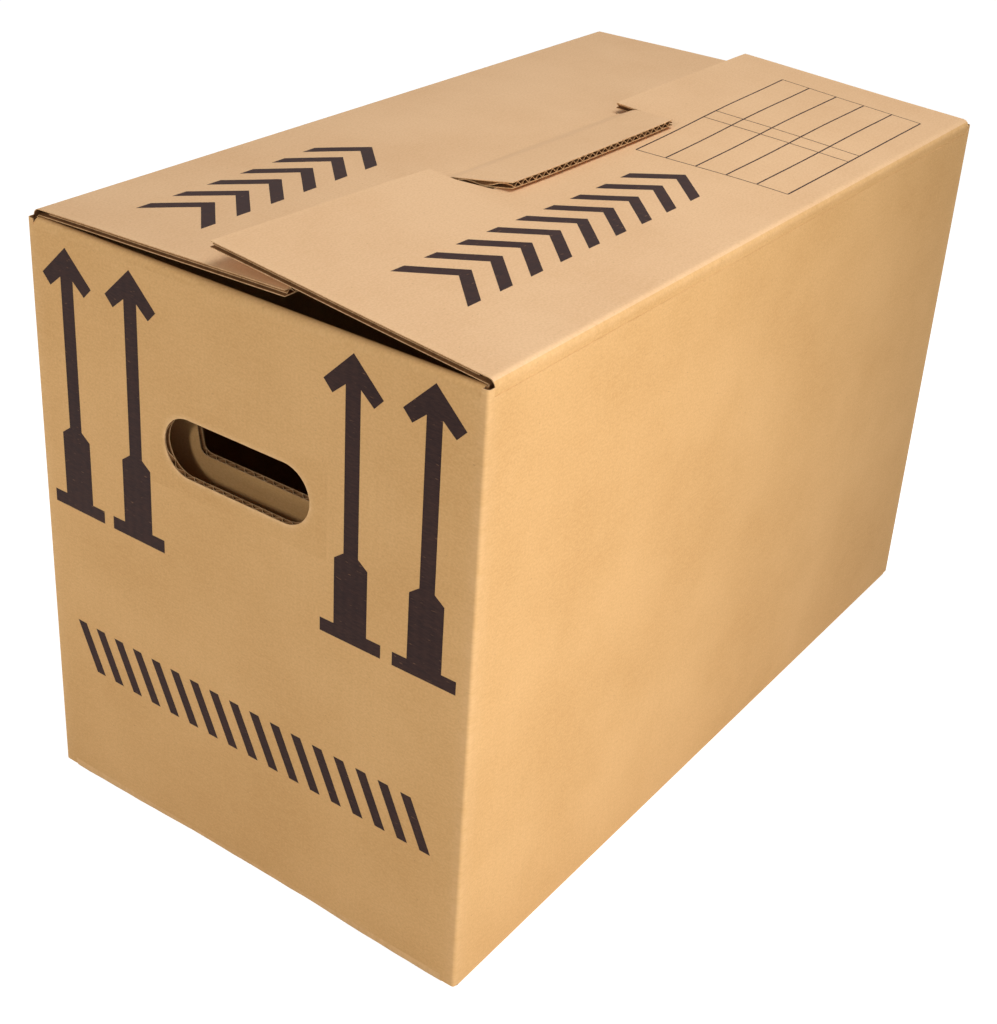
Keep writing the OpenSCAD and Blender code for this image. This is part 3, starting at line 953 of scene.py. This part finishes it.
FLAPS = (
    ("end_flap_front", end_flap_sheets(-1)),
    ("end_flap_back", end_flap_sheets(1)),
    ("base_flap_near", base_flap_sheets(-1)),
    ("base_flap_far", base_flap_sheets(1)),
    ("inner_flap_front", inner_flap_sheets(-1)),
    ("inner_flap_back", inner_flap_sheets(1)),
)
for flap_name, flap_sheets in FLAPS:
    piece(flap_name, flap_sheets, "root", PAPERS)


# Lids.


# Step across the lids and their folds, and the width of the wear along a lid's free edges.
LID_STEP = 0.006
FREE_EDGE = 0.0025
# Where a fold's crest lies in its second coordinate, and how much paper one unit of that stands for.
CREST = 1.5
FOLD_PAPER = 0.0045


def lid_pieces(name, body, place, reach, columns, cuts, marks):
    """A lid's two liners in one piece and its medium in another. Its grid is drawn on columns t that are
    evenly spaced along the fold, and cuts(t, r) is true where it is cut away. The medium is there only
    where it can be seen: along the lid's free edge, and at both ends."""
    bends = (SLIT_FROM, NOTCH_FROM, FAR_REACH - TONGUE_TAPER_RUN, 2 * HINGE_Y - FAR_REACH + TONGUE_TAPER_RUN)
    t = steps(-LID_HALF, LID_HALF, LID_STEP, marks)
    r = steps(LID_START, reach, size=0.003, also=bends)
    keep = ~cuts(midpoints(t)[:, None], midpoints(r)[None, :])

    def worn(x, along):
        edge = bell(along, reach, FREE_EDGE) + bell(np.abs(x), LID_HALF, FREE_EDGE)
        return np.clip(0.4 * edge + 0.6 * bell(along, 0, 0.006), 0, 1)

    x = columns(t[:, None], r[None, :])
    lid = piece(name, liners(x, r, place, keep, worn), body, LID_PAPERS)
    t = flute_columns(-LID_HALF + END_FLUTE, LID_HALF - END_FLUTE, marks)
    r = steps(LID_START, reach, size=0.004, also=bends + (EDGE_FROM,))
    mid_t = midpoints(t)[:, None]
    mid_r = midpoints(r)[None, :]
    needed = (mid_r > EDGE_FROM) | (np.abs(mid_t) > LID_HALF - END_FLUTES)
    needed = needed & ~cuts(mid_t, mid_r)
    waved = medium(columns(t[:, None], r[None, :]), r, place, needed)
    piece(name + "_flutes", [waved], body, LID_PAPERS)
    return lid


def near_cuts(t, r):
    """The near lid's notch under the tongue."""
    return (np.abs(t) < NOTCH_HALF) & (r > NOTCH_FROM)


def far_cuts(t, r):
    """The two slits that free the tongue."""
    return (np.abs(t) > TONGUE_HALF) & (np.abs(t) < SLIT_HALF) & (r > SLIT_FROM)


NOTCH_MARKS = (-NOTCH_HALF, NOTCH_HALF)
SLIT_MARKS = (-SLIT_HALF, -TONGUE_HALF, TONGUE_HALF, SLIT_HALF)
near_lid = lid_pieces("near_lid", "near_lid", near_lid_place, NEAR_REACH, near_columns, near_cuts,
                      NOTCH_MARKS)
far_lid = lid_pieces("far_lid", "far_lid", far_lid_place, FAR_REACH, far_columns, far_cuts,
                     SLIT_MARKS)


def fold_piece(name, mid, slope_of, side):
    """The fold of a lid, whose ends show two papers round a hollow whose inner faces take the flutes' painted
    shade. Up to its crest it has the walls' kraft, and past it the lids' paler kraft, which is painted light;
    the crest is paler, partly from wear and partly as a painted highlight."""
    place = on_surface(fold_strip(mid, slope_of, side), -side)
    x = steps(-LID_HALF, LID_HALF, LID_STEP)
    s = joined(np.linspace(0, 1, 4), np.linspace(1, 2, 11), np.linspace(2, 3, 4))

    # The crest is paler: partly wear, partly a painted highlight along the fold.
    def worn(_, along):
        return 0.4 * bell(np.maximum(np.abs(along - CREST) - 0.3, 0), 0, 0.35)

    made = liners(x, s, place, None, worn)
    # Faces below the crest take the walls' kraft and the rest the lids' paler kraft, which is painted light.
    for part in made:
        of_wall = part["uv"][part["corners"], 1].mean(axis=1) < CREST
        part["kind"] = np.where(of_wall & (part["kind"] == 0), 3, part["kind"])
        part["uv"][:, 1] = part["uv"][:, 1] * FOLD_PAPER
    obj = piece(name, made, None, FOLD_PAPERS)
    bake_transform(obj)


fold_piece("near_fold", near_mid, near_slope, -1)
fold_piece("far_fold", far_mid, far_slope, 1)

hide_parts("box_body")
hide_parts("near_lid_flap")
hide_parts("far_lid_flap")


# Prints: thin films of ink that lie on the paper. Each is a set of four-cornered patches drawn flat.

INK_HIGH = HALF_BOARD + 0.00006
INK_LOW = HALF_BOARD - 0.0001


def ink_patch(corners, place, size=0.006):
    """A four-cornered patch of ink: its grid runs evenly between opposite sides, and lies on the surface."""
    a, b, c, d = (np.array(p, float) for p in corners)
    along = max(np.linalg.norm(b - a), np.linalg.norm(c - d))
    across = max(np.linalg.norm(d - a), np.linalg.norm(c - b))
    t = np.linspace(0, 1, max(2, math.ceil(along / size) + 1))
    q = np.linspace(0, 1, max(2, math.ceil(across / size) + 1))

    def lay(i, j, w):
        i, j = i[..., None], j[..., None]
        flat = (a * (1 - i) + b * i) * (1 - j) + (d * (1 - i) + c * i) * j
        return place(flat[..., 0], flat[..., 1], w)

    made = sheet(t, q, lay, INK_LOW, INK_HIGH, faces=(0, 0, 0))
    i, j = made["uv"][:, :1], made["uv"][:, 1:]
    made["uv"] = (a * (1 - i) + b * i) * (1 - j) + (d * (1 - i) + c * i) * j
    return made


def up_arrow(y, low, high, lean):
    """A tall arrow: a chevron with square-cut ends, a shaft, and a foot that widens over shoulders to a bar.
    It leans sideways by the lean times the height over its bar."""
    arm, tail = 0.0202, 0.0140
    arm_low, tail_low = high - arm, high - 0.0268
    shaft, foot, bar = 0.0051, 0.0117, 0.0217
    join, root = high - 0.0191, high - 0.0147
    neck, shoulder, bar_top = low + 0.0564, low + 0.0513, low + 0.0087
    patches = []
    for s in (-1, 1):
        patches.append(((0, high), (s * arm, arm_low), (s * tail, tail_low), (0, root)))
    patches.append(((-shaft, join), (0, root), (0, neck), (-shaft, neck)))
    patches.append(((0, root), (shaft, join), (shaft, neck), (0, neck)))
    patches.append(((-shaft, neck), (shaft, neck), (foot, shoulder), (-foot, shoulder)))
    patches.append(((-foot, shoulder), (foot, shoulder), (foot, bar_top), (-foot, bar_top)))
    patches.append(((-bar, bar_top), (bar, bar_top), (bar, low), (-bar, low)))
    return [tuple((y + p + lean * (q - low), q) for p, q in patch) for patch in patches]


def row_places(start, end, width, pitch):
    """Where marks of a width start, as many as fit between start and end at a pitch, with the row centred."""
    count = int((end - start - width) / pitch) + 1
    left = start + (end - start - width - (count - 1) * pitch) / 2
    return [left + k * pitch for k in range(count)]


def slanted_band(start, end, low, high, stroke, pitch):
    """A row of slanted bars between two heights."""
    lean = (high - low) * 0.45
    patches = []
    for x in row_places(start, end, lean + stroke, pitch):
        patches.append(((x, low), (x + stroke, low), (x + stroke + lean, high), (x + lean, high)))
    return patches


def chevrons(start, end, low, high, stroke, pitch):
    """A row of chevrons that point along the first coordinate."""
    reach = (high - low) / 2
    middle = (high + low) / 2
    patches = []
    for x in row_places(start, end, reach + stroke, pitch):
        for edge in (low, high):
            patches.append(((x, edge), (x + stroke, edge), (x + stroke + reach, middle), (x + reach, middle)))
    return patches


# Each arrow's place across the wall, its bottom, its tip and its lean.
ARROWS = (
    (0.1345, 0.2095, 0.3830, 0.0),
    (0.0833, 0.2095, 0.3845, -0.004),
    (-0.0817, 0.2098, 0.3865, 0.0078),
    (-0.1332, 0.2095, 0.3874, 0.0),
)


def end_print(name, side):
    """The four arrows and the slanted bars of an end wall."""
    place = end_wall(side)
    patches = []
    for y, low, high, lean in ARROWS:
        patches += up_arrow(side * -y, low, high, side * -lean)
    patches += slanted_band(-0.146, 0.146, low=0.0925, high=0.1265, stroke=0.0075, pitch=0.0165)
    piece(name, [ink_patch(p, place) for p in patches], "root", [ink])


end_print("print_front", -1)
end_print("print_back", 1)


def ruled_line(a, b, width):
    """A line from a to b as a patch of that width."""
    a, b = np.array(a, float), np.array(b, float)
    along = (b - a) / np.linalg.norm(b - a)
    side = np.array([-along[1], along[0]]) * width / 2
    return (a - side, b - side, b + side, a + side)


def ruled_table(corners, rows, columns, row_width, column_width):
    """An empty ruled table between four corners: its lines join the places at equal shares of two sides."""
    a, b, c, d = (np.array(p, float) for p in corners)
    patches = []
    for share in np.linspace(0, 1, rows + 1):
        patches.append(ruled_line(a + (d - a) * share, b + (c - b) * share, row_width))
    for share in columns:
        patches.append(ruled_line(a + (b - a) * share, d + (c - d) * share, column_width))
    return patches


TABLE_CORNERS = ((0.0455, 0.0184), (0.2556, 0.0198), (0.2610, 0.1364), (0.0372, 0.1277))
TABLE_COLUMNS = (0.0, 0.426, 0.508, 1.0)
NEAR_MARKS = ruled_table(TABLE_CORNERS, 5, TABLE_COLUMNS, row_width=0.0011, column_width=0.0008)
NEAR_MARKS += chevrons(-0.248, 0.025, low=0.054, high=0.106, stroke=0.0115, pitch=0.0285)
FAR_MARKS = chevrons(-0.260, -0.076, low=0.043, high=0.095, stroke=0.0115, pitch=0.0285)
piece("print_near_lid", [ink_patch(p, near_lid_place) for p in NEAR_MARKS], "near_lid", [ink])
piece("print_far_lid", [ink_patch(p, far_lid_place) for p in FAR_MARKS], "far_lid", [ink])


# Camera, lamps, floor and world.


def light(name, place, aim, size, power, colour):
    """A soft square lamp at a place, turned to face the point that it aims at."""
    data = bpy.data.lights.new(name, "AREA")
    data.size = size
    data.energy = power
    data.color = colour
    lamp = bpy.data.objects.new(name, data)
    lamp.location = place
    way = np.array(aim, float) - np.array(place, float)
    flat = math.hypot(way[0], way[1])
    lamp.rotation_euler = (math.atan2(flat, -way[2]), 0.0, math.atan2(-way[0], way[1]))
    bpy.context.scene.collection.objects.link(lamp)


light("key_lamp", (-0.32, -0.80, 0.36), (-0.2, -0.1, 0.2), 0.4, 4.1, (1.0, 0.98, 0.95))
light("front_lamp", (-1.6, -0.26, 1.13), (-0.3, 0.0, 0.25), 0.16, 8.0, (1.0, 0.97, 0.92))
light("side_lamp", (-0.8, 0.50, 0.22), (-0.3, 0.05, 0.1), 0.4, 1.2, (1.0, 0.97, 0.92))
light("top_lamp", (0.15, -0.30, 1.5), (-0.1, 0.0, 0.38), 0.8, 10.0, (1.0, 0.99, 0.98))


# Soft light of the world, and the floor's half width, depth, grey, and the white that is added to it.
WORLD_LIGHT = 0.18
FLOOR_HALF = 30
FLOOR_Z = -0.0002
FLOOR_GREY = 0.6
FLOOR_WHITE = 0.88


def pale_background(tree):
    """A white that only camera, glossy and transmission rays see: 1 where the ray is one of them."""
    path = node(tree, "ShaderNodeLightPath")
    seen = maths(tree, "MAXIMUM", path.outputs["Is Camera Ray"], path.outputs["Is Glossy Ray"])
    return maths(tree, "MAXIMUM", seen, path.outputs["Is Transmission Ray"])


def studio_world():
    """White where it is looked at, and a soft even light everywhere else."""
    world = bpy.data.worlds.new("studio")
    world.use_nodes = True
    tree = world.node_tree
    back = tree.nodes["Background"]
    back.inputs["Color"].default_value = (1, 1, 1, 1)
    seen = pale_background(tree)
    tree.links.new(ranged(tree, seen, 0, 1, WORLD_LIGHT, 1.0), back.inputs["Strength"])
    bpy.context.scene.world = world


def studio_floor():
    """A pale floor: plain diffuse to the light, with white added where it is looked at, so that the shadow
    stays and the rest is white."""
    mesh = bpy.data.meshes.new("floor")
    marks = np.linspace(-FLOOR_HALF, FLOOR_HALF, 13)
    u, v = grid(marks, marks)
    points = np.stack([u, v, np.full_like(u, FLOOR_Z)], -1).reshape(-1, 3)
    corners = np.stack(cells(u.shape), -1).reshape(-1, 4)
    mesh.from_pydata(points.tolist(), [], corners.tolist())
    floor = bpy.data.objects.new("floor", mesh)
    bpy.context.scene.collection.objects.link(floor)
    material = bpy.data.materials.new("pale_floor")
    material.use_nodes = True
    tree = material.node_tree
    tree.nodes.remove(tree.nodes["Principled BSDF"])
    plain = node(tree, "ShaderNodeBsdfDiffuse", {"Color": (FLOOR_GREY, FLOOR_GREY, FLOOR_GREY, 1)})
    glow = node(tree, "ShaderNodeEmission", {"Color": (1, 1, 1, 1)})
    tree.links.new(maths(tree, "MULTIPLY", pale_background(tree), FLOOR_WHITE), glow.inputs["Strength"])
    both = node(tree, "ShaderNodeAddShader")
    tree.links.new(plain.outputs[0], both.inputs[0])
    tree.links.new(glow.outputs[0], both.inputs[1])
    tree.links.new(both.outputs[0], tree.nodes["Material Output"].inputs["Surface"])
    mesh.materials.append(material)


studio_world()
studio_floor()

camera_data = bpy.data.cameras.new("camera")
camera_data.sensor_width = 36.0
camera_data.lens = 60.07
camera_data.shift_x = -0.0308
camera_data.shift_y = -0.0898
camera = bpy.data.objects.new("camera", camera_data)
camera.location = (-0.9012, -0.585, 0.7574)
camera.rotation_euler = Euler([math.radians(a) for a in (62.685, -3.727, -54.745)])
bpy.context.scene.collection.objects.link(camera)
bpy.context.scene.camera = camera
bpy.context.scene.view_settings.view_transform = "Standard"
